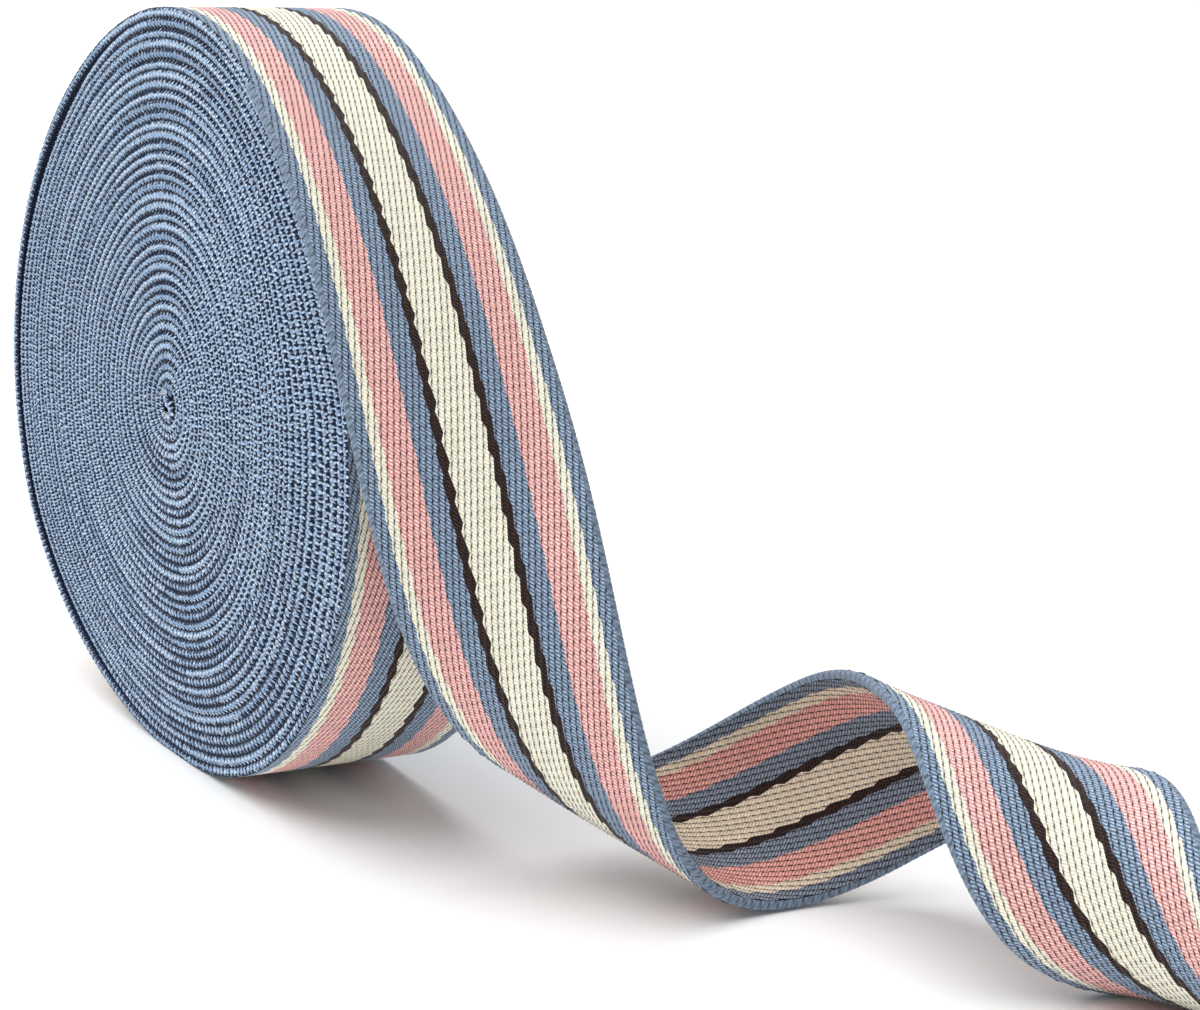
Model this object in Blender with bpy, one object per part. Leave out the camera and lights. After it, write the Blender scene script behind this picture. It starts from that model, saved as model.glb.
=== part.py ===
# Roll of striped woven tape that stands on its rim, with its loose end curling away.
# The roll's axis runs along Y. The loose end lifts off the roll on the +X side, curls over
# sideways and comes down flat on the floor. The origin is the centre of the small flat spot
# that the roll rests on, and the floor is Z = 0.

import math
from collections import namedtuple

import bmesh
import bpy
import numpy as np
from mathutils import Quaternion, Vector

MM = 0.001
CM = 0.01

# The tape.
TAPE_WIDTH = 38.0 * MM
TAPE_THICKNESS = 1.9 * MM
SELVEDGE_BEVEL = 0.4 * MM

# The wound roll: its mean outer radius, how much wider than tall it has sagged, and one
# three-sided lean that its own weight and the hand winding leave in it.
ROLL_RADIUS = 74.8 * MM
ROLL_SAG = 2.05 * MM
ROLL_LEAN = 1.95 * MM
LEAN_TURN = math.radians(137.0)
FLAT_DEPTH = 0.25 * MM

# The outer turn ends where the tape lifts off: one thickness of step, hidden by the tape.
# Past the lift-off edge the roll stays lower over the shelf and comes back out over the ramp.
LIFT_ANGLE = math.radians(60.0)
STEP_SHELF = math.radians(25.0)
STEP_RAMP = math.radians(50.0)
CLEARANCE = 0.4 * MM

OUTLINE_POINTS = 168
SHEET_STEP = 4.0 * MM
SHEET_STRIPS = 8

# Rings across each face of the roll: share of the outline's radius, and how far the wound
# edges stand proud of the tape's edge line there. The middle is a shallow dimple.
FaceRing = namedtuple("FaceRing", "share proud")
FACE_RINGS = (
    FaceRing(0.96, 0.3 * MM),
    FaceRing(0.84, 0.0 * MM),
    FaceRing(0.62, -0.3 * MM),
    FaceRing(0.38, 0.1 * MM),
    FaceRing(0.16, -0.2 * MM),
    FaceRing(0.06, -1.2 * MM),
)

# Stations along the loose end: distance from where it lifts off, how sharply it bends
# towards its inner side and how fast it twists there, and how much its edges cup inwards.
Station = namedtuple("Station", "along_mm bend_deg_per_cm twist_deg_per_cm cup_mm")
LOOSE_END = (
    Station(0, 4.6, 0.7, 0.0),
    Station(30, 5.1, 2.3, 0.3),
    Station(60, 4.3, 4.2, 0.9),
    Station(90, 2.1, 7.7, 0.3),
    Station(120, 8.6, 10.3, 2.5),
    Station(140, 13.5, 11.7, 3.6),
    Station(160, 22.5, 14.2, 3.2),
    Station(180, 18.4, 13.8, 2.5),
    Station(205, 13.1, 12.2, 1.6),
    Station(230, 14.5, 12.3, 3.9),
    Station(255, 16.6, 19.0, 3.2),
    Station(280, 19.4, 21.7, 1.1),
    Station(300, 18.4, 15.9, 1.2),
    Station(320, 9.5, 7.0, 0.2),
    Station(344, -0.8, -4.1, 0.0),
)

BLUE = (0.181, 0.275, 0.456)
CREAM = (0.855, 0.807, 0.610)


def fabric_material(name, colour):
    """A plain rough cloth material of one colour."""
    material = bpy.data.materials.new(name)
    material.use_nodes = True
    shader = material.node_tree.nodes["Principled BSDF"]
    shader.inputs["Base Color"].default_value = (*colour, 1.0)
    shader.inputs["Roughness"].default_value = 0.9
    shader.inputs["Metallic"].default_value = 0.0
    return material


def roll_radius(angle):
    """Outer radius of the wound roll, before the step, at an angle from +X."""
    return (
        ROLL_RADIUS
        + ROLL_SAG * math.cos(2.0 * angle)
        + ROLL_LEAN * math.cos(3.0 * angle + LEAN_TURN)
    )


def flat_spot():
    """Place of the roll's centre: its X and Z over the middle of the flat spot."""
    angles = [math.radians(step * 0.25) for step in range(-720, 0)]
    lowest = min(angles, key=lambda angle: roll_radius(angle) * math.sin(angle))
    height = -roll_radius(lowest) * math.sin(lowest) - FLAT_DEPTH
    return -roll_radius(lowest) * math.cos(lowest), height


ROLL_X, ROLL_Z = flat_spot()


def pressed(point, lowest):
    """A point, pressed flat where it would pass below the lowest height that it may have."""
    return Vector((point[0], point[1], max(point[2], lowest)))


def roll_outline():
    """The roll's outline from the lift-off edge all the way round, as X and Z offsets."""
    step_height = TAPE_THICKNESS + CLEARANCE
    points = []
    for index in range(OUTLINE_POINTS):
        turned = 2.0 * math.pi * index / (OUTLINE_POINTS - 1)
        angle = LIFT_ANGLE + turned
        past_lift = 2.0 * math.pi - turned
        ramp = min(1.0, max(0.0, 1.0 - (past_lift - STEP_SHELF) / STEP_RAMP))
        drop = step_height * ramp * ramp * (3.0 - 2.0 * ramp)
        radius = roll_radius(angle) - drop
        points.append((radius * math.cos(angle), radius * math.sin(angle)))
    return points


def build_roll():
    """The wound roll: one closed body with a step, a flat spot and slightly uneven faces."""
    half = TAPE_WIDTH / 2.0
    rim_share = 1.0 - SELVEDGE_BEVEL / ROLL_RADIUS
    near_rings = [(ring.share, -half - ring.proud) for ring in reversed(FACE_RINGS)]
    near_rings += [(rim_share, -half), (1.0, -half + SELVEDGE_BEVEL)]
    far_rings = [(share, -place) for share, place in reversed(near_rings)]
    outline = roll_outline()
    body = bmesh.new()
    loops = []
    for share, place in near_rings + far_rings:
        loop = []
        for x, z in outline:
            point = Vector((ROLL_X + share * x, place, ROLL_Z + share * z))
            loop.append(body.verts.new(pressed(point, 0.0)))
        loops.append(loop)
    for inner, outer in zip(loops, loops[1:]):
        for index in range(OUTLINE_POINTS):
            after = (index + 1) % OUTLINE_POINTS
            body.faces.new((inner[index], inner[after], outer[after], outer[index]))
    for loop in (loops[0], loops[-1]):
        middle = body.verts.new((ROLL_X, loop[0].co.y, ROLL_Z))
        for index in range(OUTLINE_POINTS):
            body.faces.new((loop[index], loop[(index + 1) % OUTLINE_POINTS], middle))
    bmesh.ops.recalc_face_normals(body, faces=body.faces)
    return add_object("roll", body, fabric_material("wound_edges", BLUE))


def loose_end_rows():
    """Middle surface of the loose end, as rows of points across the tape."""
    along = [station.along_mm * MM for station in LOOSE_END]
    bends = [math.radians(station.bend_deg_per_cm) / CM for station in LOOSE_END]
    twists = [math.radians(station.twist_deg_per_cm) / CM for station in LOOSE_END]
    cups = [station.cup_mm * MM for station in LOOSE_END]
    radius = roll_radius(LIFT_ANGLE)
    slope = (roll_radius(LIFT_ANGLE + 0.001) - radius) / 0.001
    outward = Vector((math.cos(LIFT_ANGLE), 0.0, math.sin(LIFT_ANGLE)))
    forward = Vector((outward.z, 0.0, -outward.x)) * radius - outward * slope
    forward.normalize()
    across = Vector((0.0, 1.0, 0.0))
    centre = Vector((ROLL_X, 0.0, ROLL_Z)) + outward * radius
    outward = forward.cross(across)
    centre = centre - outward * (TAPE_THICKNESS / 2.0) + forward * CLEARANCE
    steps = round(along[-1] / SHEET_STEP)
    rows = []
    for count in range(steps + 1):
        here = count * SHEET_STEP
        cup = float(np.interp(here, along, cups))
        row = []
        for strip in range(SHEET_STRIPS + 1):
            share = 2.0 * strip / SHEET_STRIPS - 1.0
            point = centre + across * (share * TAPE_WIDTH / 2.0) - outward * (cup * share * share)
            row.append(pressed(point, TAPE_THICKNESS / 2.0))
        rows.append(row)
        middle = here + SHEET_STEP / 2.0
        turn = across * float(np.interp(middle, along, bends))
        turn = turn + forward * float(np.interp(middle, along, twists))
        ahead = forward.copy()
        spin = Quaternion(turn.normalized(), turn.length * SHEET_STEP)
        for vector in (outward, ahead, across):
            vector.rotate(spin)
        centre = centre + (forward + ahead) * (SHEET_STEP / 2.0)
        forward = ahead
    return np.array(rows)


def build_loose_end():
    """The loose end: the tape's sheet, thickened to both sides of its middle surface."""
    rows = loose_end_rows()
    lengthwise = np.gradient(rows, axis=0)
    crosswise = np.gradient(rows, axis=1)
    normals = np.cross(crosswise, lengthwise)
    normals /= np.linalg.norm(normals, axis=2, keepdims=True)
    body = bmesh.new()
    sides = []
    for side in (-0.5, 0.5):
        surface = rows + normals * (side * TAPE_THICKNESS)
        sides.append([[body.verts.new(pressed(point, 0.0)) for point in row] for row in surface])
    inner, outer = sides
    row_count = len(inner)
    for row in range(row_count - 1):
        for strip in range(SHEET_STRIPS):
            for side in (inner, outer):
                corner = side[row][strip], side[row][strip + 1]
                body.faces.new((*corner, side[row + 1][strip + 1], side[row + 1][strip]))
        for edge in (0, SHEET_STRIPS):
            lower = inner[row][edge], inner[row + 1][edge]
            body.faces.new((*lower, outer[row + 1][edge], outer[row][edge]))
    for row in (0, row_count - 1):
        for strip in range(SHEET_STRIPS):
            lower = inner[row][strip], inner[row][strip + 1]
            body.faces.new((*lower, outer[row][strip + 1], outer[row][strip]))
    bmesh.ops.recalc_face_normals(body, faces=body.faces)
    return add_object("loose_end", body, fabric_material("woven_tape", CREAM))


def add_object(name, body, material):
    """Turn a finished bmesh into a scene object with its material."""
    mesh = bpy.data.meshes.new(name)
    body.to_mesh(mesh)
    body.free()
    mesh.materials.append(material)
    mesh.shade_smooth()
    mesh.set_sharp_from_angle(angle=math.radians(40.0))
    thing = bpy.data.objects.new(name, mesh)
    bpy.context.scene.collection.objects.link(thing)
    return thing


def main():
    """Clear the scene and build the part."""
    for thing in list(bpy.data.objects):
        bpy.data.objects.remove(thing, do_unlink=True)
    build_roll()
    build_loose_end()


main()
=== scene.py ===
"""Roll of striped woven tape that stands on its rim, with its loose end curling away.

The roll's axis runs along Y, the floor is Z = 0, and the loose end leaves on the +X side.
Lengths are metres, apart from names and attributes that end in mm, which are millimetres.
The tape's two long edges are its selvedges, and its slanting ridges are called wales.
"""

import math
from collections import namedtuple

import bmesh
import bpy
import numpy as np
from bpy.props import FloatProperty, FloatVectorProperty, IntProperty, PointerProperty
from mathutils import Matrix, Quaternion, Vector


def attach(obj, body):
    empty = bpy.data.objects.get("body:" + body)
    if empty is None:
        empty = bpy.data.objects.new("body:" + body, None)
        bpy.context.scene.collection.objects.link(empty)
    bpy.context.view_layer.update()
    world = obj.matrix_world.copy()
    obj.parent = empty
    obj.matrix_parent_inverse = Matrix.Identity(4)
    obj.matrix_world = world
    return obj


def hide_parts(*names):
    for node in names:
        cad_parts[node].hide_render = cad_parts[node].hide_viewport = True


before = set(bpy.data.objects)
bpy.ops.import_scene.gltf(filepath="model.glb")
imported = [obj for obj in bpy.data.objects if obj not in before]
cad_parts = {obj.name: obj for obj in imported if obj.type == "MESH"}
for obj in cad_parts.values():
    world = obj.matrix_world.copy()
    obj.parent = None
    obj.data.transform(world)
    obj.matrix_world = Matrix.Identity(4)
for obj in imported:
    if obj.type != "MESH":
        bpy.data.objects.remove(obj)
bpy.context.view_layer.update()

bl_info = {
    "name": "Roll of striped tape",
    "version": (1, 0, 0),
    "blender": (4, 5, 0),
    "location": "View3D > Sidebar > Tape roll",
    "description": "Weaves and winds a roll of striped tape with a curling loose end",
    "category": "Add Mesh",
}

MM = 0.001
CM = 0.01
FULL_TURN = 2.0 * math.pi

# The wound roll's outline, as in the solids.
ROLL_RADIUS = 74.8 * MM
ROLL_SAG = 2.05 * MM
ROLL_LEAN = 1.95 * MM
LEAN_TURN = math.radians(137.0)
FLAT_DEPTH = 0.25 * MM
LIFT_ANGLE = math.radians(60.0)
STEP_SHELF = math.radians(25.0)
STEP_RAMP = math.radians(50.0)

# The loose end, as in the solids: distance from where it lifts off, how sharply it bends
# towards its inner side and how fast it twists there, and how much its edges cup inwards.
Station = namedtuple("Station", "along_mm bend_deg_per_cm twist_deg_per_cm cup_mm")
LOOSE_END = (
    Station(0, 4.6, 0.7, 0.0),
    Station(30, 5.1, 2.3, 0.3),
    Station(60, 4.3, 4.2, 0.9),
    Station(90, 2.1, 7.7, 0.3),
    Station(120, 8.6, 10.3, 2.5),
    Station(140, 13.5, 11.7, 3.6),
    Station(160, 22.5, 14.2, 3.2),
    Station(180, 18.4, 13.8, 2.5),
    Station(205, 13.1, 12.2, 1.6),
    Station(230, 14.5, 12.3, 3.9),
    Station(255, 16.6, 19.0, 3.2),
    Station(280, 19.4, 21.7, 1.1),
    Station(300, 18.4, 15.9, 1.2),
    Station(320, 9.5, 7.0, 0.2),
    Station(344, -0.8, -4.1, 0.0),
)

# Stripes from the middle of the tape outwards: where each begins, how long its teeth are,
# and its colour.
Stripe = namedtuple("Stripe", "from_mm tooth_mm dye")
STRIPES = (
    Stripe(3.7, 0.62, "brown"),
    Stripe(5.2, 0.45, "blue"),
    Stripe(8.87, 0.32, "pink"),
    Stripe(14.1, 0.40, "cream"),
    Stripe(16.0, 0.35, "blue"),
)

# Teeth along a stripe's edge, in shares of a wale: half the shift between the two halves of
# the tape, and how much of a tooth rises before it falls back.
TOOTH_SHIFT = 0.12
TOOTH_RISE = 0.72

# Twisted yarn on a woven face: its strokes for each millimetre, where the pin holes start and
# how far a wale lags along one dip, both in shares of their spacing.
YARN_RATE = 1.35
PIN_START = 0.25
DIP_LAG = 0.14

# Colours of painted light: the painted shade of the woven faces in their grooves, pin holes and
# between their strokes, and the painted shade with warm painted bounced light over the inner face;
# and for the looped edges: how much they brighten the tape's blue, their painted highlights, the
# painted shade between them, and how much tape it takes for the loops to fall out of step.
GROOVE_PAINTED_SHADE = (0.17, 0.17, 0.2)
INNER_PAINTED_SHADE = (0.82, 0.71, 0.66)
LOOP_GAINS = (1.4, 1.6, 1.85)
LOOP_PAINTED_HIGHLIGHT = (0.78, 0.90, 1.0)
LOOP_PAINTED_SHADE = (0.005, 0.015, 0.05)
LOOP_JUMP_MM = 37.0

# Where the winding's own middle lies from the middle of the outline, towards +X and +Z, and
# how far the innermost turn goes on past its last whole turn.
EYE_SHIFT = (4.6 * MM, -0.9 * MM)
EYE_TURN = math.radians(210.0)

# How far the outermost turns have slipped towards the near face, by the angle back from the
# lift-off edge. The turns inside them have slipped less and less. Slips and swells fade in from
# the lift-off edge over the start angle, in radians.
Slip = namedtuple("Slip", "turned_deg shift_mm")
SLIPS = (
    Slip(0, -0.3),
    Slip(50, -0.1),
    Slip(90, 0.5),
    Slip(150, 0.5),
    Slip(190, -1.6),
    Slip(225, -3.6),
    Slip(270, -4.0),
    Slip(310, -3.7),
    Slip(345, -0.9),
    Slip(360, -0.3),
)
SLIPPED_TURNS = 11
SLIP_START = 0.5

# Slow swells of the turns' unevenness, by the angle back in radians, and where they set in.
Swell = namedtuple("Swell", "rate start share")
SWELLS = (Swell(0.37, 0.0, 1.0), Swell(1.31, 2.0, 1.0), Swell(2.27, 1.0, 0.6))
SWELLS_SET_IN = (4.0, 9.0)

# Angles back in radians over which the outermost turn slackens, and is drawn tight again.
SLACKENS = (0.7, 1.6)
TIGHTENS = (2.7, 3.7)

# The outer turns follow the solids' step, which has spread into an even spiral after a few.
# The turns under the slack one are pressed in, each less than the one outside it.
SPIRAL_TURNS = 6.0
PRESSED_TURNS = 8.0

# Fineness of the meshes: steps and rows along the tape, and columns across it.
FRAME_STEP = 1.0 * MM
LOOSE_ROW = 0.49 * MM
WOUND_ROW = 0.66 * MM
STITCH_ROWS = 2
STEPS_PER_RADIAN = 115.0
COLUMNS_PER_WALE = 4

# How far the selvedge stands past the woven face, loose and wound, how high its loops are
# there, and how softly the loose end is pressed on the floor.
EDGE_BEAD = 0.9 * MM
WOUND_BEAD = 0.5 * MM
LOOSE_LOOPS = 0.12 * MM
WOUND_LOOPS = 0.34 * MM
SOFT_PRESS = 0.4 * MM

# The wall of the gap between the two outermost turns, line by line: how deep the lines on the
# outer turn's side lie below the face, and where each line lies across the selvedge's pattern,
# in shares of the tape's thickness. Outside 0 to 1 the pattern is painted shade, which fills the
# deep part of the gap.
TROUGH_DEPTHS = (0.0 * MM, 0.05 * MM, 0.2 * MM, 7.0 * MM)
TROUGH_COLUMNS = (0.3, 0.1, -0.4, -0.5, -0.5, -0.3)
TROUGH_ROWS = 400

# The tape's inner end: its points once round and on each half of its S, how far its hidden part
# keeps back from the face, which of its points carry a loose fibre, and where those point.
RING_POINTS = 60
SWING_POINTS = 24
HIDDEN_DEPTH = 1.5 * MM
FIBRE_POINTS = (66, 69, 72, 98, 100, 102, 104)
FIBRE_WAY = (0.9, -0.7, 0.3)


def length_setting(name, description, metres):
    return FloatProperty(name=name, description=description, default=metres, unit="LENGTH")


def angle_setting(name, description, degrees):
    turn = math.radians(degrees)
    return FloatProperty(name=name, description=description, default=turn, unit="ROTATION")


def colour_setting(name, description, *parts):
    return FloatVectorProperty(name=name, description=description, default=parts, subtype="COLOR")


class TapeSettings(bpy.types.PropertyGroup):
    """Sizes and colours of the tape itself."""

    width: length_setting("Width", "From selvedge to selvedge", 38.0 * MM)
    thickness: length_setting("Thickness", "Of one layer", 1.9 * MM)
    wales: IntProperty(name="Wales", description="Ridges side by side", default=34, min=8)
    wale_lean: angle_setting("Wale lean", "Angle between the wales and the stripes", 12.0)
    wale_depth: length_setting("Wale depth", "Height of a ridge", 0.32 * MM)
    dip_mm: FloatProperty(
        name="Dips", description="Spacing of the pin holes along a groove, in mm", default=1.8
    )
    stitch_mm: FloatProperty(
        name="Stitch", description="Length of one loop on the selvedge, in mm", default=0.8
    )
    blue: colour_setting("Blue", "Edges and two stripes", 0.25, 0.335, 0.45)
    cream: colour_setting("Cream", "Middle and two narrow stripes", 0.95, 0.92, 0.76)
    pink: colour_setting("Pink", "Two broad stripes", 0.90, 0.51, 0.48)
    brown: colour_setting("Brown", "Two fine lines beside the middle", 0.034, 0.013, 0.010)


class RollSettings(bpy.types.PropertyGroup):
    """How the tape is wound."""

    turns: IntProperty(name="Turns", description="Of tape in the roll", default=38, min=3)
    unevenness: length_setting(
        "Unevenness", "How far single turns stand out of the roll's face", 0.3 * MM
    )
    loose_gap: length_setting(
        "Loose gap", "Gap under the outermost turn where it has slackened", 2.3 * MM
    )


class StageSettings(bpy.types.PropertyGroup):
    """Camera, floor and light."""

    azimuth: angle_setting("Azimuth", "Camera's turn from the -Y side towards +X", 58.46)
    elevation: angle_setting("Elevation", "Camera's height as an angle", 14.34)
    roll: angle_setting("Camera roll", "Turn about the line of sight", 3.48)
    lens: FloatProperty(name="Lens", description="Focal length in mm", default=90.66)
    camera_place: FloatVectorProperty(
        name="Camera place", description="From the middle of the roll", subtype="TRANSLATION",
        default=(0.5273, -0.2412, 0.1284),
    )
    floor_colour: colour_setting("Floor", "Pale paper under the roll", 0.96, 0.96, 0.96)


class Wire:
    """One value in a node tree. Python's arithmetic on it adds Math nodes to the tree."""

    def __init__(self, tree, socket):
        self.tree = tree
        self.socket = socket

    def fill(self, node, values):
        """Set or link a node's sockets, given by name or by number."""
        for place, value in values.items():
            if isinstance(value, Wire):
                self.tree.links.new(value.socket, node.inputs[place])
            else:
                node.inputs[place].default_value = value

    def add(self, kind, settings, values, output=0):
        """Add any node: first its settings, then the values or links of its sockets."""
        node = self.tree.nodes.new(kind)
        for name, setting in settings.items():
            setattr(node, name, setting)
        self.fill(node, values)
        return Wire(self.tree, node.outputs[output])

    def math(self, operation, *values):
        return self.add("ShaderNodeMath", {"operation": operation}, dict(enumerate(values)))

    def times(self, other):
        """This vector or colour, part by part times another."""
        return self.add("ShaderNodeVectorMath", {"operation": "MULTIPLY"}, {0: self, 1: other})

    def scaled(self, factor):
        """This vector or colour, times one value."""
        return self.add("ShaderNodeVectorMath", {"operation": "SCALE"}, {0: self, "Scale": factor})

    def combined(self, *parts):
        """A vector of up to three values."""
        return self.add("ShaderNodeCombineXYZ", {}, dict(enumerate(parts)))

    def __add__(self, other):
        return self.math("ADD", self, other)

    def __sub__(self, other):
        return self.math("SUBTRACT", self, other)

    def __rsub__(self, other):
        return self.math("SUBTRACT", other, self)

    def __mul__(self, other):
        return self.math("MULTIPLY", self, other)

    def __truediv__(self, other):
        return self.math("DIVIDE", self, other)

    def __pow__(self, other):
        return self.math("POWER", self, other)

    def __gt__(self, other):
        return self.math("GREATER_THAN", self, other)

    def __abs__(self):
        return self.math("ABSOLUTE", self)

    __radd__ = __add__
    __rmul__ = __mul__

    def floor(self):
        return self.math("FLOOR", self)

    def fraction(self):
        return self.math("FRACT", self)

    def capped(self):
        """This value, and 1 where it is more."""
        return self.math("MINIMUM", self, 1.0)

    def wave(self):
        """A wave between 0 and 1, once for each whole step of the value."""
        return self.math("SINE", self * FULL_TURN) * 0.5 + 0.5

    def between(self, low, high):
        """0 below low, 1 above high, and smooth from one to the other."""
        return self.add(
            "ShaderNodeMapRange",
            {"interpolation_type": "SMOOTHSTEP"},
            {"Value": self, "From Min": low, "From Max": high},
        )

    def mix(self, first, second):
        """A colour: the first where this value is 0, the second where it is 1."""
        return self.add(
            "ShaderNodeMix",
            {"data_type": "RGBA"},
            {"Factor": self, 6: first, 7: second},
            output=2,
        )


def radius_at(angle):
    """Outer radius of the wound roll at an angle from +X, without the step."""
    return (
        ROLL_RADIUS + ROLL_SAG * np.cos(2.0 * angle) + ROLL_LEAN * np.cos(3.0 * angle + LEAN_TURN)
    )


def roll_middle():
    """X and Z of the roll's centre, over the middle of its flat spot."""
    angles = np.radians(np.arange(-720, 0) * 0.25)
    heights = radius_at(angles) * np.sin(angles)
    lowest = angles[np.argmin(heights)]
    return -radius_at(lowest) * math.cos(lowest), -heights.min() - FLAT_DEPTH


ROLL_X, ROLL_Z = roll_middle()


def smooth_step(value, low, high):
    """0 below low, 1 above high, and smooth from one to the other."""
    share = np.clip((value - low) / (high - low), 0.0, 1.0)
    return share * share * (3.0 - 2.0 * share)


def unit(vectors):
    """Vectors of length 1."""
    return vectors / np.linalg.norm(vectors, axis=-1, keepdims=True)


def floored(points, lowest=0.0):
    """Points, raised to a lowest height where they would pass below it."""
    points[..., 2] = np.maximum(points[..., 2], lowest)
    return points


def lengths_along(path):
    """Distance along a path at each of its points."""
    lengths = np.linalg.norm(np.diff(path, axis=0), axis=1)
    return np.concatenate([[0.0], np.cumsum(lengths)])


def woven_edge(tape):
    """Distance from the middle of the tape to the edge of its woven face."""
    return tape.width / 2.0 - EDGE_BEAD


def slack(turned):
    """Share of slack, 0 to 1, in the outermost turn at an angle back from the lift-off edge."""
    within = np.mod(turned, FULL_TURN)
    return smooth_step(within, *SLACKENS) * (1.0 - smooth_step(within, *TIGHTENS))


def winding_radius(turned, tape, roll):
    """Outer radius of the tape after it has turned that far back from the lift-off edge."""
    number = np.floor(turned / FULL_TURN)
    within = turned - number * FULL_TURN
    ramp = smooth_step(within, FULL_TURN - STEP_SHELF - STEP_RAMP, FULL_TURN - STEP_SHELF)
    evenly = within / FULL_TURN
    share = np.clip(number / SPIRAL_TURNS, 0.0, 1.0)
    drop = tape.thickness * ((1.0 - share) * ramp + share * evenly)
    fading = np.clip((PRESSED_TURNS - number) / (PRESSED_TURNS - 1.0), 0.0, 1.0)
    pressed = np.where(number > 0.0, fading, 0.0)
    drop = drop + roll.loose_gap * slack(turned) * pressed
    angle = LIFT_ANGLE + turned
    return radius_at(angle) * (1.0 - number * tape.thickness / radius_at(LIFT_ANGLE)) - drop


def winding_shift(turned, roll):
    """How far the tape has slipped towards the near face after turning back that far."""
    waves = sum(swell.share * np.sin(swell.rate * turned + swell.start) for swell in SWELLS)
    uneven = roll.unevenness * waves / 2.0 * smooth_step(turned, *SWELLS_SET_IN)
    angles = [math.radians(slip.turned_deg) for slip in SLIPS]
    slip = np.interp(np.mod(turned, FULL_TURN), angles, [slip.shift_mm * MM for slip in SLIPS])
    share = 1.0 - smooth_step(turned, 0.0, SLIPPED_TURNS * FULL_TURN)
    return (uneven + slip * share) * smooth_step(turned, 0.0, SLIP_START)


def wound_points(turned, radius, y):
    """Points at angles back from the lift-off edge, pressed flat on the floor."""
    angle = LIFT_ANGLE + turned
    inwards = 1.0 - radius / ROLL_RADIUS
    x = ROLL_X + EYE_SHIFT[0] * inwards + radius * np.cos(angle)
    z = ROLL_Z + EYE_SHIFT[1] * inwards + radius * np.sin(angle)
    return np.stack(np.broadcast_arrays(x, y, np.maximum(z, 0.0)), axis=-1)


def winding_steps(tape, roll, last, row):
    """Angles back from the lift-off edge at even steps along the wound tape, and the steps."""
    turned = np.linspace(0.0, last, round(last * STEPS_PER_RADIAN))
    along = lengths_along(wound_points(turned, winding_radius(turned, tape, roll), 0.0))
    even = np.append(np.arange(0.0, along[-1] - row / 2.0, row), along[-1])
    return np.interp(even, along, turned), even


def loose_end_frames(tape):
    """Centre, outward and across vectors along the loose end, one row for each step."""
    along = [station.along_mm * MM for station in LOOSE_END]
    bends = [math.radians(station.bend_deg_per_cm) / CM for station in LOOSE_END]
    twists = [math.radians(station.twist_deg_per_cm) / CM for station in LOOSE_END]
    radius = float(radius_at(LIFT_ANGLE))
    tiny = 0.001
    slope = (float(radius_at(LIFT_ANGLE + tiny)) - radius) / tiny
    outward = Vector((math.cos(LIFT_ANGLE), 0.0, math.sin(LIFT_ANGLE)))
    forward = Vector((outward.z, 0.0, -outward.x)) * radius - outward * slope
    forward.normalize()
    across = Vector((0.0, 1.0, 0.0))
    centre = Vector((ROLL_X, 0.0, ROLL_Z)) + outward * radius
    outward = forward.cross(across)
    centre = centre - outward * (tape.thickness / 2.0)
    frames = []
    for count in range(round(along[-1] / FRAME_STEP) + 1):
        frames.append((*centre, *outward, *across))
        middle = (count + 0.5) * FRAME_STEP
        turn = across * float(np.interp(middle, along, bends))
        turn = turn + forward * float(np.interp(middle, along, twists))
        ahead = forward.copy()
        spin = Quaternion(turn.normalized(), turn.length * FRAME_STEP)
        for vector in (outward, ahead, across):
            vector.rotate(spin)
        centre = centre + (forward + ahead) * (FRAME_STEP / 2.0)
        forward = ahead
    return np.array(frames)


def loose_end_surface(tape, along, across):
    """Middle surface of the loose end and its normals, for rows along and columns across."""
    frames = loose_end_frames(tape)
    steps = np.arange(len(frames)) * FRAME_STEP
    row = np.stack([np.interp(along, steps, column) for column in frames.T], axis=1)
    centre, outward, sideways = row[:, None, 0:3], row[:, None, 3:6], row[:, None, 6:9]
    stations = [station.along_mm * MM for station in LOOSE_END]
    cup = np.interp(along, stations, [station.cup_mm * MM for station in LOOSE_END])
    share = across / (tape.width / 2.0)
    points = centre + sideways * across[None, :, None]
    points = points - outward * (cup[:, None] * share[None, :] ** 2)[..., None]
    height = points[..., 2] - tape.thickness / 2.0
    points[..., 2] += 0.5 * (np.sqrt(height**2 + SOFT_PRESS**2) - height)
    lengthwise = np.gradient(points, axis=0)
    crosswise = np.gradient(points, axis=1)
    return points, unit(np.cross(lengthwise, crosswise))


def grid_object(name, points, across, along, bands, flip=False):
    """A mesh of rows and columns that carries its places on the tape, in millimetres."""
    rows, columns = points.shape[:2]
    first = (np.arange(rows - 1)[:, None] * columns + np.arange(columns - 1)[None, :]).ravel()
    corners = np.stack([first, first + 1, first + columns + 1, first + columns], axis=1)
    row_shift = np.array([0, 0, 1, 1])
    column_shift = np.array([0, 1, 1, 0])
    if flip:
        corners = corners[:, ::-1]
        row_shift, column_shift = row_shift[::-1], column_shift[::-1]
    mesh = bpy.data.meshes.new(name)
    mesh.vertices.add(rows * columns)
    mesh.vertices.foreach_set("co", points.astype(np.float32).ravel())
    mesh.loops.add(corners.size)
    mesh.loops.foreach_set("vertex_index", corners.astype(np.int32).ravel())
    mesh.polygons.add(len(corners))
    mesh.polygons.foreach_set("loop_start", np.arange(0, corners.size, 4, dtype=np.int32))
    mesh.update(calc_edges=True)
    mesh.shade_smooth()
    for label, values in (("across_mm", across), ("along_mm", along)):
        attribute = mesh.attributes.new(label, "FLOAT", "POINT")
        spread = np.broadcast_to(values, (rows, columns)) / MM
        attribute.data.foreach_set("value", spread.astype(np.float32).ravel())
    lay_out_map(mesh, rows, columns, bands, row_shift, column_shift)
    thing = bpy.data.objects.new(name, mesh)
    bpy.context.scene.collection.objects.link(thing)
    return thing


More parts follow.
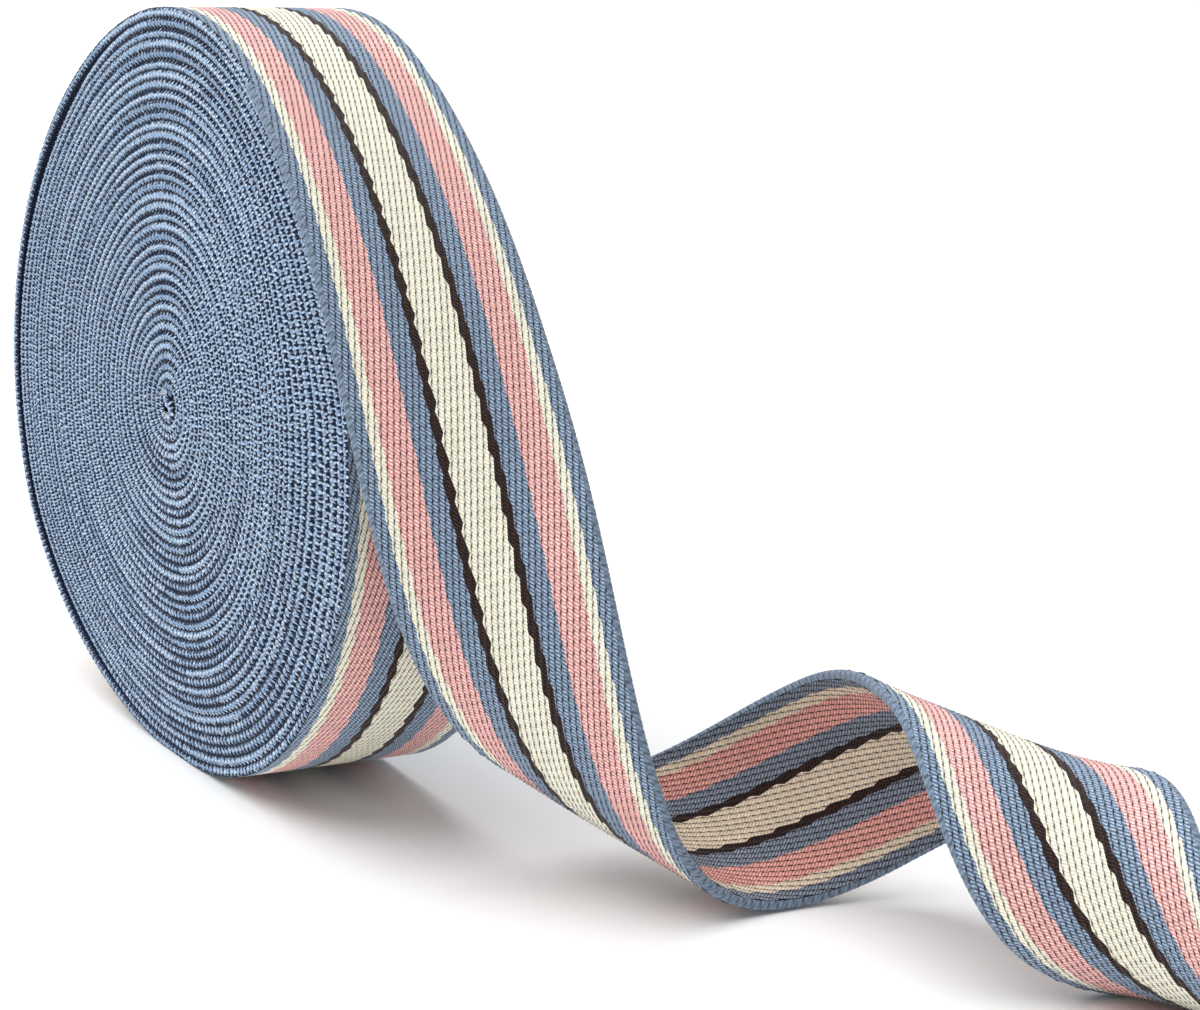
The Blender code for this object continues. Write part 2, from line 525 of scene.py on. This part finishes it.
def lay_out_map(mesh, rows, columns, bands, row_shift, column_shift):
    """A texture map that folds the long strip into bands which fill the square."""
    band_rows = math.ceil((rows - 1) / bands)
    row = np.repeat(np.arange(rows - 1), columns - 1)
    column = np.tile(np.arange(columns - 1), rows - 1)
    band = row // band_rows
    lengthwise = (row - band * band_rows)[:, None] + row_shift[None, :]
    crosswise = (column[:, None] + column_shift[None, :]) / (columns - 1)
    margin, band_margin = 0.01, 0.1
    u = margin + (1.0 - 2.0 * margin) * lengthwise / band_rows
    v = (band[:, None] + band_margin + (1.0 - 2.0 * band_margin) * crosswise) / bands
    layer = mesh.uv_layers.new(name="OFBake")
    layer.uv.foreach_set("vector", np.stack([u, v], axis=-1).astype(np.float32).ravel())


def wale_count(tape, across, along, side):
    """How many wales lie between the middle of the tape and a point, with the part of one."""
    pitch = tape.width / MM / tape.wales
    return (across + along * (side * math.tan(tape.wale_lean))) / pitch


def relief_tree(name, sockets):
    """A geometry tree with a mesh input, named number inputs and the two place attributes."""
    tree = bpy.data.node_groups.new(name, "GeometryNodeTree")
    tree.interface.new_socket("Geometry", in_out="INPUT", socket_type="NodeSocketGeometry")
    tree.interface.new_socket("Geometry", in_out="OUTPUT", socket_type="NodeSocketGeometry")
    for label, default in sockets.items():
        socket = tree.interface.new_socket(label, in_out="INPUT", socket_type="NodeSocketFloat")
        socket.default_value = default
    tree.interface.new_socket("Material", in_out="INPUT", socket_type="NodeSocketMaterial")
    start = tree.nodes.new("NodeGroupInput")
    wires = {socket.name: Wire(tree, socket) for socket in start.outputs if socket.name}
    for label in ("across_mm", "along_mm"):
        wires[label] = wires["Geometry"].add(
            "GeometryNodeInputNamedAttribute", {"data_type": "FLOAT"}, {"Name": label}
        )
    return tree, wires


def end_tree(tree, wires, geometry):
    """Realize, set the material and finish the tree."""
    real = geometry.add("GeometryNodeRealizeInstances", {}, {"Geometry": geometry})
    dressed = real.add(
        "GeometryNodeSetMaterial", {}, {"Geometry": real, "Material": wires["Material"]}
    )
    finish = tree.nodes.new("NodeGroupOutput")
    dressed.fill(finish, {0: dressed})


def push_out(wires, height):
    """Move the mesh along its normals by a height in metres."""
    offset = height.add("GeometryNodeInputNormal", {}, {}).scaled(height)
    return height.add(
        "GeometryNodeSetPosition", {}, {"Geometry": wires["Geometry"], "Offset": offset}
    )


def weave_tree(tape, side):
    """Ribs of the weave: rounded wales, and grooves that dip where the yarns go under."""
    tree, wires = relief_tree(
        "weave_relief", {"Wale depth": tape.wale_depth, "Dip spacing": tape.dip_mm}
    )
    count = wale_count(tape, wires["across_mm"], wires["along_mm"], side)
    from_ridge = abs(count.fraction() - 0.5) * 2.0
    dip = (wires["along_mm"] / wires["Dip spacing"] - PIN_START).wave()
    groove = from_ridge**2.4 * (0.7 + dip * 0.3)
    end_tree(tree, wires, push_out(wires, groove * wires["Wale depth"] * -1.0))
    return tree


def selvedge_tree(tape, height):
    """Loops of the selvedge: beads along its middle and smaller ones beside it."""
    tree, wires = relief_tree(
        "selvedge_relief", {"Bead height": height, "Stitch": tape.stitch_mm}
    )
    column = wires["across_mm"] / (tape.thickness / MM)
    pair = (wires["along_mm"] * 0.5 / wires["Stitch"]).wave()
    bead = (wires["along_mm"] / wires["Stitch"] + 0.25).wave() * 0.6 + pair * 0.4
    inside = 1.0 - abs(column * 2.0 - 1.0) ** 4.0
    end_tree(tree, wires, push_out(wires, bead * (0.35 + inside * 0.65) * wires["Bead height"]))
    return tree


def yarn_end_tree(length, radius, spread):
    """Short bent yarn ends, one on each point of a mesh, along its attribute called way."""
    tree, wires = relief_tree(
        "yarn_ends", {"Length": length, "Radius": radius, "Spread": spread}
    )
    points = wires["Geometry"]
    way = points.add(
        "GeometryNodeInputNamedAttribute", {"data_type": "FLOAT_VECTOR"}, {"Name": "way"}
    )
    length, spread = wires["Length"], wires["Spread"]
    middle = way.combined(0.0, 0.0, length * 0.5)
    tip = way.combined(length * 0.45, 0.0, length)
    curve = way.add(
        "GeometryNodeCurveQuadraticBezier",
        {},
        {"Resolution": 4, "Start": (0.0, 0.0, 0.0), "Middle": middle, "End": tip},
    )
    ring = way.add(
        "GeometryNodeCurvePrimitiveCircle", {}, {"Resolution": 6, "Radius": wires["Radius"]}
    )
    stub = way.add(
        "GeometryNodeCurveToMesh",
        {},
        {"Curve": curve, "Profile Curve": ring, "Fill Caps": True},
    )
    aimed = way.add("FunctionNodeAlignRotationToVector", {"axis": "Z"}, {"Vector": way})
    low = way.combined(spread * -1.0, spread * -1.0)
    any_turn = 6.28
    high = way.combined(spread, spread, any_turn)
    sway = way.add(
        "FunctionNodeRandomValue", {"data_type": "FLOAT_VECTOR"}, {0: low, 1: high, "Seed": 4}
    )
    turned = way.add(
        "FunctionNodeRotateRotation",
        {"rotation_space": "LOCAL"},
        {"Rotation": aimed, "Rotate By": sway},
    )
    grown = way.add(
        "FunctionNodeRandomValue", {"data_type": "FLOAT"}, {2: 0.5, 3: 1.2, "Seed": 9}, output=1
    )
    placed = way.add(
        "GeometryNodeInstanceOnPoints",
        {},
        {"Points": points, "Instance": stub, "Rotation": turned, "Scale": grown},
    )
    end_tree(tree, wires, placed)
    return tree


def run_tree(thing, tree, material):
    """Apply a geometry tree to an object and leave it as a plain mesh, pressed on the floor."""
    modifier = thing.modifiers.new("relief", "NODES")
    modifier.node_group = tree
    for item in tree.interface.items_tree:
        if item.item_type == "SOCKET" and item.in_out == "INPUT" and item.name == "Material":
            modifier[item.identifier] = material
    thing.data.materials.append(material)
    bpy.context.view_layer.update()
    graph = bpy.context.evaluated_depsgraph_get()
    made = bpy.data.meshes.new_from_object(thing.evaluated_get(graph))
    thing.modifiers.remove(modifier)
    old = thing.data
    thing.data = made
    bpy.data.meshes.remove(old)
    made.name = thing.name
    places = np.empty(len(made.vertices) * 3, dtype=np.float32)
    made.vertices.foreach_get("co", places)
    places[2::3] = np.maximum(places[2::3], 0.0)
    made.vertices.foreach_set("co", places)
    made.update()
    return thing


def new_shader(name):
    """A material with a Principled shader, and its two place attributes as wires."""
    material = bpy.data.materials.new(name)
    material.use_nodes = True
    tree = material.node_tree
    shader = tree.nodes["Principled BSDF"]
    start = Wire(tree, shader.outputs[0])
    across = start.add("ShaderNodeAttribute", {"attribute_name": "across_mm"}, {}, "Fac")
    along = start.add("ShaderNodeAttribute", {"attribute_name": "along_mm"}, {}, "Fac")
    shader.inputs["Roughness"].default_value = 0.85
    shader.inputs["Specular IOR Level"].default_value = 0.25
    shader.inputs["Sheen Weight"].default_value = 0.25
    shader.inputs["Sheen Roughness"].default_value = 0.5
    return material, shader, across, along


def colour(values):
    """A colour with full alpha."""
    return (*values, 1.0)


def mottle_at(across, along, across_scale, along_scale):
    """Soft noise over the tape, between 0 and 1."""
    place = across.combined(across * across_scale, along * along_scale)
    return across.add("ShaderNodeTexNoise", {}, {"Vector": place, "Scale": 1.0, "Detail": 3.0})


def white_noise(place):
    """A new random value between 0 and 1 at each place."""
    return place.add("ShaderNodeTexWhiteNoise", {"noise_dimensions": "2D"}, {"Vector": place})


def finish_shader(shader, base, height):
    """Give a shader its colour, and bumps of a height in millimetres."""
    bump = height.add("ShaderNodeBump", {}, {"Strength": 1.0, "Distance": MM, "Height": height})
    bump.fill(shader, {"Base Color": base, "Normal": bump})


def striped(tape, across, along, side):
    """The dyed stripes, whose edges are toothed from wale to wale."""
    half = across.math("SIGN", across)
    dyed = colour(tape.cream)
    for stripe in STRIPES:
        count = wale_count(tape, half * stripe.from_mm, along, side)
        slot = (TOOTH_SHIFT - count * half - half * TOOTH_SHIFT).fraction()
        rise, fall = slot / TOOTH_RISE, (1.0 - slot) / (1.0 - TOOTH_RISE)
        tooth = slot.math("MINIMUM", rise, fall) - 0.5
        place = abs(across) - half * tooth * stripe.tooth_mm
        dyed = (place > stripe.from_mm).mix(dyed, colour(getattr(tape, stripe.dye)))
    return dyed


def woven_material(tape, name, side):
    """The woven face: toothed stripes, pin holes along the grooves and twisted yarn, with painted
    shade in the grooves, in the pin holes and between the yarn's strokes, and painted highlights
    on the strokes.
    """
    material, shader, across, along = new_shader(name)
    dips = along / tape.dip_mm
    count = wale_count(tape, across, along, side)
    count = count + (dips.fraction() - 0.5) * (side * DIP_LAG)
    dyed = striped(tape, across, along, side)
    mottle = mottle_at(across, along, 2.2, 0.9)
    depth = 1.0 - dyed
    rim = abs(count.fraction() - 0.5) * 2.0
    grain = white_noise(across.combined(count.floor(), dips.floor()))
    stroke = (across * (side * YARN_RATE) - along * YARN_RATE + mottle * 0.9).wave()
    pin = (dips - PIN_START + mottle * 0.2).wave() ** 1.5
    line = rim.between(0.6, 0.96)
    hole = (rim + pin * 0.34).between(0.98, 1.16)
    # Painted shade in the grooves and the pin holes, and between the yarn's strokes, where it is
    # stronger on deeper dyes.
    painted_shade = line * 0.66 + hole * 0.62 + (1.0 - stroke) * (1.0 - line) * (0.24 + depth * 0.7)
    # Painted highlight along the yarn's strokes, stronger on deeper dyes.
    painted_highlight = 1.0 + stroke * (1.0 - rim) * (0.3 + depth * 1.2)
    # Where painted shade falls, the dye gives way to a deeper, dimmer copy of itself.
    shaded = painted_shade.capped().mix(dyed.scaled(painted_highlight), dyed.times(dyed).times(GROOVE_PAINTED_SHADE))
    # Painted shade and warm painted bounced light over the whole inner face.
    if side < 0.0:
        shaded = shaded.times(INNER_PAINTED_SHADE)
    light = 0.80 + mottle * 0.26 + grain * 0.14
    finish_shader(shader, shaded.scaled(light), stroke * 0.06 - hole * 0.12)
    return material


def yarn_end_material(tape, name):
    """Cut yarns: only the colour of their stripe."""
    material, shader, across, along = new_shader(name)
    dyed = striped(tape, across, along, 1.0)
    dyed.fill(shader, {"Base Color": dyed})
    return material


def selvedge_material(tape, name):
    """The edges of the tape: small slanting loops of blue yarn, with painted shade in the gaps and
    holes between them and painted highlights on them.
    """
    material, shader, across, along = new_shader(name)
    column = across / (tape.thickness / MM)
    mottle = mottle_at(across, along, 1.1, 0.8)
    patch = mottle_at(across, along, 0.05, 0.035).between(0.35, 0.62)
    jump = white_noise(across.combined((along / LOOP_JUMP_MM).floor()))
    pairs = along * (0.5 / tape.stitch_mm)
    loop = (along / tape.stitch_mm + 0.25 + column * 0.5 + mottle * 1.3 + jump).wave()
    pair = (pairs + mottle * 1.2 + jump).wave()
    strand = (pairs - column * 1.6 + mottle * 1.5 + jump).wave()
    rim = abs(column * 2.0 - 1.0)
    dash = (pairs + 0.25 + mottle * 1.4 + jump).wave()
    # Painted shade in the gaps between the turns, stronger in patches and dashes.
    gap = abs((column + pair * 0.3 - 0.15) * 2.0 - 1.0).between(0.45, 0.9)
    gap = gap * (0.2 + patch * 0.35 + dash * 0.5)
    hole = (rim * 0.62 + (1.0 - loop) * 0.5 + (1.0 - pair) * 0.38).between(0.76, 0.98)
    # Painted shade from the gaps, from the holes between the loops and between the strands.
    painted_shade = gap * 0.7 + hole + (1.0 - strand) * 0.3
    blue = colour([part * gain for part, gain in zip(tape.blue, LOOP_GAINS)])
    # Painted highlights on the loops.
    lit = (strand * loop * 0.9).mix(blue, colour(LOOP_PAINTED_HIGHLIGHT))
    shaded = painted_shade.capped().mix(lit, colour(LOOP_PAINTED_SHADE))
    shader.inputs["Sheen Weight"].default_value = 0.08
    light = 0.82 + mottle * 0.36
    finish_shader(shader, shaded.scaled(light), loop * 0.2 - hole * 0.3)
    return material


def loose_selvedge_material(tape, name):
    """The selvedges of the loose end: one more blue wale, seen from its side."""
    material, shader, across, along = new_shader(name)
    mottle = mottle_at(across, along, 1.6, 0.9)
    stroke = (across * 1.2 - along + mottle * 0.9).wave()
    pin = (along / tape.dip_mm + mottle * 0.4).wave() ** 2.0
    # Painted shade in the pin holes and between the yarn's strokes, in a deep copy of the blue.
    painted_shade = pin * 0.35 + (1.0 - stroke) * 0.4
    deep = colour([0.2 * part * part for part in tape.blue])
    shaded = painted_shade.mix(colour(tape.blue), deep)
    finish_shader(shader, shaded, stroke * 0.08 - pin * 0.08)
    return material


def finish_piece(thing, slot, *nodes):
    """Put a piece on the part's one body and hide the solids that it replaces; the finish it is
    given is not used.
    """
    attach(thing, "root")
    if nodes:
        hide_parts(*nodes)


def tape_columns(tape):
    """Places across the woven face, with a few columns for each wale."""
    edge = woven_edge(tape)
    return np.linspace(-edge, edge, tape.wales * COLUMNS_PER_WALE)


def material_named(name, make, *values):
    """The material of that name, made when it is first asked for."""
    return bpy.data.materials.get(name) or make(*values, name)


def dress(thing, material):
    """Give a finished mesh its one material."""
    thing.data.materials.append(material)
    return thing


def yarn_ends(name, tape, places, ways, across, tree):
    """Bent yarn ends that stand on a few places and point roughly along their ways."""
    rows = np.stack([places, places], axis=1)
    points = grid_object(name, rows, across[:, None], np.zeros((len(across), 1)), bands=1)
    attribute = points.data.attributes.new("way", "FLOAT_VECTOR", "POINT")
    attribute.data.foreach_set("vector", np.repeat(ways, 2, axis=0).astype(np.float32).ravel())
    material = material_named("cut_yarn", yarn_end_material, tape)
    return run_tree(points, tree, material)


class TAPE_OT_loose_end(bpy.types.Operator):
    """Weave both faces of the loose end, its two selvedges and its cut end"""

    bl_idname = "tape.loose_end"
    bl_label = "Weave the loose end"

    def execute(self, context):
        tape = context.scene.tape
        length = LOOSE_END[-1].along_mm * MM
        along = np.arange(0.0, length, LOOSE_ROW)
        across = tape_columns(tape)
        points, normals = loose_end_surface(tape, along, across)
        faces = []
        for name, side in (("loose_end_outer_face", 1.0), ("loose_end_inner_face", -1.0)):
            surface = floored(points + normals * (side * tape.thickness / 2.0))
            face = grid_object(
                name, surface, across[None, :], along[:, None], bands=3, flip=side < 0.0
            )
            material = woven_material(tape, name + "_weave", side)
            faces.append(run_tree(face, weave_tree(tape, side), material))
        outer, inner = faces
        finish_piece(outer, "woven_tape", "loose_end")
        finish_piece(inner, "woven_tape")
        edges = self.edges(tape, length)
        for edge in edges:
            finish_piece(edge, "wound_edges")
        edges += self.cut_end(tape, points[-2:], normals[-1], across, along[-1])
        return {"FINISHED"}

    def edges(self, tape, length):
        """The two selvedges: a strip round each edge from the outer face to the inner one."""
        row = tape.stitch_mm * MM / STITCH_ROWS
        along = np.arange(0.0, length, row)
        places = np.array([-woven_edge(tape), 0.0, woven_edge(tape)])
        points, normals = loose_end_surface(tape, along, places)
        edges = []
        for name, place, side in (("near_selvedge", 0, -1.0), ("far_selvedge", 2, 1.0)):
            sideways = unit(side * (points[:, 2] - points[:, 0]))
            top = points[:, place] + normals[:, place] * (tape.thickness / 2.0)
            bottom = points[:, place] - normals[:, place] * (tape.thickness / 2.0)
            strip = selvedge_strip(top, bottom, sideways, EDGE_BEAD)
            flat = selvedge_strip(top, bottom, sideways, 0.0)
            strip[0], strip[-1] = flat[0], flat[-1]
            columns = np.linspace(0.0, tape.thickness, strip.shape[1])
            edge = grid_object(
                name, floored(strip), columns[None, :], along[:, None], bands=8, flip=side > 0.0
            )
            material = material_named("loose_selvedge", loose_selvedge_material, tape)
            edges.append(run_tree(edge, selvedge_tree(tape, LOOSE_LOOPS), material))
        return edges

    def cut_end(self, tape, points, normal, across, place):
        """The cut through the tape and the ends of its yarns."""
        forward = unit(points[1] - points[0])
        share = np.linspace(-1.0, 1.0, 5)[None, :, None]
        bulge = 0.2 * MM * (1.0 - share**2)
        cut = points[1][:, None, :] + normal[:, None, :] * (share * tape.thickness / 2.0)
        cut = floored(cut + forward[:, None, :] * bulge)
        along = np.full((1, 1), place)
        end = grid_object("cut_end", cut, across[:, None], along, bands=1, flip=True)
        dress(end, material_named("cut_yarn", yarn_end_material, tape))
        finish_piece(end, "woven_tape")
        picks = np.repeat(np.arange(2, len(across) - 2, 3), 2)
        side = np.tile([-0.45, 0.45], len(picks) // 2)[:, None]
        stubs = points[1][picks] + normal[picks] * (side * tape.thickness / 2.0)
        stubs = floored(stubs, lowest=0.5 * MM)
        tree = yarn_end_tree(length=1.4 * MM, radius=0.2 * MM, spread=0.35)
        ends = yarn_ends("cut_end_yarns", tape, stubs, forward[picks], across[picks], tree)
        finish_piece(ends, "woven_tape")
        return [end, ends]


def selvedge_strip(top, low, sideways, bead, columns=5):
    """A rounded strip between two lines, bulging sideways by the height of a bead."""
    share = np.linspace(0.0, 1.0, columns)[None, :, None]
    bulge = bead * (1.0 - np.abs(2.0 * share - 1.0) ** 2.5)
    line = top[:, None, :] * (1.0 - share) + low[:, None, :] * share
    return line + sideways[:, None, :] * bulge


class TAPE_OT_outer_turn(bpy.types.Operator):
    """Weave the outermost turn round the roll, back from where the loose end lifts off"""

    bl_idname = "tape.outer_turn"
    bl_label = "Weave the outer turn"

    def execute(self, context):
        tape, roll = context.scene.tape, context.scene.tape_roll
        turned, along = winding_steps(tape, roll, FULL_TURN - 1e-6, WOUND_ROW)
        across = tape_columns(tape)
        radius = winding_radius(turned, tape, roll)
        shift = winding_shift(turned, roll)
        points = wound_points(turned[:, None], radius[:, None], across - shift[:, None])
        turn = grid_object("outer_turn", points, across[None, :], -along[:, None], bands=4)
        material = woven_material(tape, "outer_turn_weave", 1.0)
        run_tree(turn, weave_tree(tape, 1.0), material)
        finish_piece(turn, "woven_tape")
        return {"FINISHED"}


class TAPE_OT_wound_faces(bpy.types.Operator):
    """Wind the selvedges of all turns into the two faces of the roll"""

    bl_idname = "tape.wound_faces"
    bl_label = "Wind the faces"

    def execute(self, context):
        tape, roll = context.scene.tape, context.scene.tape_roll
        last = (roll.turns - 1) * FULL_TURN + EYE_TURN
        turned, along = winding_steps(tape, roll, last, tape.stitch_mm * MM / STITCH_ROWS)
        material = material_named("selvedge_loops", selvedge_material, tape)
        for name, side in (("wound_face_near", -1.0), ("wound_face_far", 1.0)):
            strip = self.strip(tape, roll, turned, side)
            columns = np.linspace(0.0, tape.thickness, strip.shape[1])
            face = grid_object(
                name, strip, columns[None, :], -along[:, None], bands=54, flip=side > 0.0
            )
            run_tree(face, selvedge_tree(tape, WOUND_LOOPS), material)
            nodes = ("roll",) if side < 0.0 else ()
            finish_piece(face, "wound_edges", *nodes)
            steps = self.steps(tape, roll, side)
            finish_piece(dress(steps, material), "wound_edges")
        finish_piece(dress(self.inner_end(tape, roll, last), material), "wound_edges")
        finish_piece(self.fibres(tape, roll, last), "woven_tape")
        return {"FINISHED"}

    def edge_line(self, tape, roll, turned, side, radius, shift):
        """Points of one of the tape's edge lines, at a radius and slipped by a shift."""
        return wound_points(turned, radius, side * woven_edge(tape) - shift)

    def strip(self, tape, roll, turned, side):
        """The wound selvedge: neighbouring turns share a line, apart from the slack one."""
        ahead = turned + FULL_TURN
        here, inner = winding_shift(turned, roll), winding_shift(ahead, roll)
        outer = winding_shift(np.maximum(turned - FULL_TURN, 0.0), roll)
        apart_top = 1.0 * (turned < 2.0 * FULL_TURN)
        apart_low = 1.0 * (turned < FULL_TURN)
        top_shift = here * apart_top + (here + outer) / 2.0 * (1.0 - apart_top)
        low_shift = here * apart_low + (here + inner) / 2.0 * (1.0 - apart_low)
        top_radius = winding_radius(turned, tape, roll)
        low_radius = self.low_radius(tape, roll, turned)
        top = self.edge_line(tape, roll, turned, side, top_radius, top_shift)
        low = self.edge_line(tape, roll, turned, side, low_radius, low_shift)
        sideways = np.zeros_like(top)
        sideways[:, 1] = side
        return selvedge_strip(top, low, sideways, WOUND_BEAD)

    def low_radius(self, tape, roll, turned):
        """Radius of the tape's inner side: the next turn's outer one, plus any slack gap."""
        gap = roll.loose_gap * slack(turned) * (turned < FULL_TURN)
        return winding_radius(turned + FULL_TURN, tape, roll) + gap

    def steps(self, tape, roll, side):
        """What shows between the two outermost turns: a small step and the slack gap, with painted
        shade in its depth.
        """
        turned = np.linspace(0.0, FULL_TURN - 0.001, TROUGH_ROWS)
        ahead = turned + FULL_TURN
        here, inner = winding_shift(turned, roll), winding_shift(ahead, roll)
        outer_radius = self.low_radius(tape, roll, turned)
        inner_radius = winding_radius(ahead, tape, roll)
        gap_share = (outer_radius - inner_radius) / roll.loose_gap
        lines = [
            self.edge_line(tape, roll, turned, side, outer_radius, here + depth * side * gap_share)
            for depth in TROUGH_DEPTHS
        ]
        deep = here + TROUGH_DEPTHS[-1] * side * gap_share
        lines.append(self.edge_line(tape, roll, turned, side, inner_radius, deep))
        lines.append(self.edge_line(tape, roll, turned, side, inner_radius, inner))
        name = "turn_step_near" if side < 0.0 else "turn_step_far"
        # Columns outside the selvedge's pattern give the deep wall of the gap its painted shade.
        columns = np.array(TROUGH_COLUMNS) * tape.thickness
        along = turned * ROLL_RADIUS
        wall = np.stack(lines, axis=1)
        made = grid_object(name, wall, columns[None, :], -along[:, None], bands=4, flip=side > 0.0)
        body = bmesh.new()
        body.from_mesh(made.data)
        bmesh.ops.remove_doubles(body, verts=body.verts, dist=0.002 * MM)
        body.to_mesh(made.data)
        body.free()
        return made

    def inner_path(self, tape, roll, last):
        """Middle line of the tape's inner end: once round, then an S through the middle."""
        turned = np.linspace(last - FULL_TURN, last, RING_POINTS)
        radius = winding_radius(turned, tape, roll) - tape.thickness / 2.0
        ring = wound_points(turned, radius, 0.0)
        swing_half = math.sin(LIFT_ANGLE + last) * radius[-1] / 2.0
        eye = ring[-1] - np.array([0.0, 0.0, 2.0 * swing_half])
        swing = np.linspace(0.0, math.pi, SWING_POINTS)[1:, None]
        first = eye + swing_half * np.concatenate(
            [-np.sin(swing), 0.0 * swing, 1.0 + np.cos(swing)], axis=1
        )
        swing = swing[:-1]
        second = eye + swing_half * np.concatenate(
            [np.sin(swing), 0.0 * swing, np.cos(swing) - 1.0], axis=1
        )
        return np.concatenate([ring, first, second])

    def inner_end(self, tape, roll, last):
        """The tape's inner end, right round its two faces and its two selvedges."""
        path = self.inner_path(tape, roll, last)
        ahead = unit(np.gradient(path, axis=0))
        normal = np.stack([ahead[:, 2], 0.0 * ahead[:, 1], -ahead[:, 0]], axis=1)
        shown = smooth_step(np.arange(len(path)), RING_POINTS - 2.0, RING_POINTS)[:, None]
        shift = float((winding_shift(last, roll) + winding_shift(last + FULL_TURN, roll)) / 2.0)
        reach = woven_edge(tape) - HIDDEN_DEPTH * (1.0 - shown)
        parts = []
        for side, turn in ((-1.0, 1.0), (1.0, -1.0)):
            across = np.array([0.0, 1.0, 0.0]) * (side * reach - shift)
            half = (0.5 + 0.1 * shown) * tape.thickness * turn
            top = path + across + normal * half
            low = path + across - normal * half
            sideways = np.array([[0.0, side, 0.0]]) * (0.1 + 0.9 * shown)
            parts.append(selvedge_strip(top, low, sideways, WOUND_BEAD))
        loop = np.concatenate([*parts, parts[0][:, :1]], axis=1)
        middle = loop[:, :-1].mean(axis=1, keepdims=True)
        loop = np.concatenate([0.0 * loop[:1] + middle[:1], loop, 0.0 * loop[:1] + middle[-1:]])
        columns = np.linspace(0.0, tape.thickness, parts[0].shape[1])
        columns = np.tile(columns, 3)[: loop.shape[1]]
        along = lengths_along(loop[:, 2])
        return grid_object("inner_end", loop, columns[None, :], -along[:, None], bands=1)

    def fibres(self, tape, roll, last):
        """A few loose pale fibres that stand out of the two small eyes of the winding."""
        places = self.inner_path(tape, roll, last)[list(FIBRE_POINTS)]
        places[:, 1] = -tape.width / 2.0 + 0.2 * MM
        ways = np.tile(FIBRE_WAY, (len(places), 1))
        tree = yarn_end_tree(length=0.9 * MM, radius=0.07 * MM, spread=0.9)
        return yarn_ends("loose_fibres", tape, places, ways, np.zeros(len(places)), tree)


class TAPE_OT_stage(bpy.types.Operator):
    """Set up the floor, the light and the camera"""

    bl_idname = "tape.stage"
    bl_label = "Set the stage"

    def execute(self, context):
        stage = context.scene.tape_stage
        self.camera(context, stage)
        self.floor(context, stage)
        self.light(context)
        context.scene.view_settings.view_transform = "Standard"
        return {"FINISHED"}

    def camera(self, context, stage):
        """A camera at the photograph's viewing angle."""
        turn, rise = stage.azimuth, stage.elevation
        back = Vector((
            math.sin(turn) * math.cos(rise), -math.cos(turn) * math.cos(rise), math.sin(rise)
        ))
        level = Vector((math.cos(turn), math.sin(turn), 0.0))
        upright = back.cross(level)
        right = level * math.cos(stage.roll) + upright * math.sin(stage.roll)
        up = upright * math.cos(stage.roll) - level * math.sin(stage.roll)
        eye = bpy.data.objects.new("camera", bpy.data.cameras.new("camera"))
        eye.data.lens = stage.lens
        eye.data.sensor_fit = "HORIZONTAL"
        eye.data.clip_start = 0.01
        place = Vector(stage.camera_place) + Vector((ROLL_X, 0.0, ROLL_Z))
        turned = Matrix((right, up, back)).transposed().to_4x4()
        eye.matrix_world = Matrix.Translation(place) @ turned
        context.scene.collection.objects.link(eye)
        context.scene.camera = eye

    def floor(self, context, stage):
        """A wide plain sheet of pale paper."""
        half = 3.0
        mesh = bpy.data.meshes.new("floor")
        corners = [(-half, -half, 0.0), (half, -half, 0.0), (half, half, 0.0), (-half, half, 0.0)]
        mesh.from_pydata(corners, [], [(0, 1, 2, 3)])
        material = bpy.data.materials.new("pale_paper")
        material.use_nodes = True
        shader = material.node_tree.nodes["Principled BSDF"]
        shader.inputs["Base Color"].default_value = colour(stage.floor_colour)
        shader.inputs["Roughness"].default_value = 1.0
        mesh.materials.append(material)
        floor = bpy.data.objects.new("floor", mesh)
        context.scene.collection.objects.link(floor)

    def light(self, context):
        """White surroundings, and one broad soft light from high up on the camera's left."""
        world = bpy.data.worlds.new("studio")
        world.use_nodes = True
        background = world.node_tree.nodes["Background"]
        background.inputs["Color"].default_value = (1.0, 1.0, 1.0, 1.0)
        background.inputs["Strength"].default_value = 0.4
        context.scene.world = world
        lamp = bpy.data.lights.new("soft_sun", "SUN")
        lamp.energy = 3.35
        lamp.angle = math.radians(75.0)
        sun = bpy.data.objects.new("soft_sun", lamp)
        sun.rotation_euler = Vector((0.28, 0.34, -1.0)).to_track_quat("-Z", "Y").to_euler()
        context.scene.collection.objects.link(sun)


class TAPE_PT_panel(bpy.types.Panel):
    """Lists the roll's pieces and its sizes"""

    bl_label = "Tape roll"
    bl_space_type = "VIEW_3D"
    bl_region_type = "UI"
    bl_category = "Tape roll"

    def draw(self, context):
        layout = self.layout
        for group in (context.scene.tape, context.scene.tape_roll, context.scene.tape_stage):
            box = layout.box()
            for name in group.bl_rna.properties.keys():
                if name not in ("rna_type", "name"):
                    box.prop(group, name)
        for operator in OPERATORS:
            layout.operator(operator.bl_idname)


OPERATORS = (TAPE_OT_wound_faces, TAPE_OT_outer_turn, TAPE_OT_loose_end, TAPE_OT_stage)
GROUPS = (TapeSettings, RollSettings, StageSettings)


def register():
    for item in (*GROUPS, *OPERATORS, TAPE_PT_panel):
        bpy.utils.register_class(item)
    bpy.types.Scene.tape = PointerProperty(type=TapeSettings)
    bpy.types.Scene.tape_roll = PointerProperty(type=RollSettings)
    bpy.types.Scene.tape_stage = PointerProperty(type=StageSettings)


def unregister():
    del bpy.types.Scene.tape_stage
    del bpy.types.Scene.tape_roll
    del bpy.types.Scene.tape
    for item in reversed((*GROUPS, *OPERATORS, TAPE_PT_panel)):
        bpy.utils.unregister_class(item)


def main():
    """Register the add-on and make every piece."""
    register()
    bpy.ops.tape.wound_faces()
    bpy.ops.tape.outer_turn()
    bpy.ops.tape.loose_end()
    bpy.ops.tape.stage()


if __name__ == "__main__":
    main()
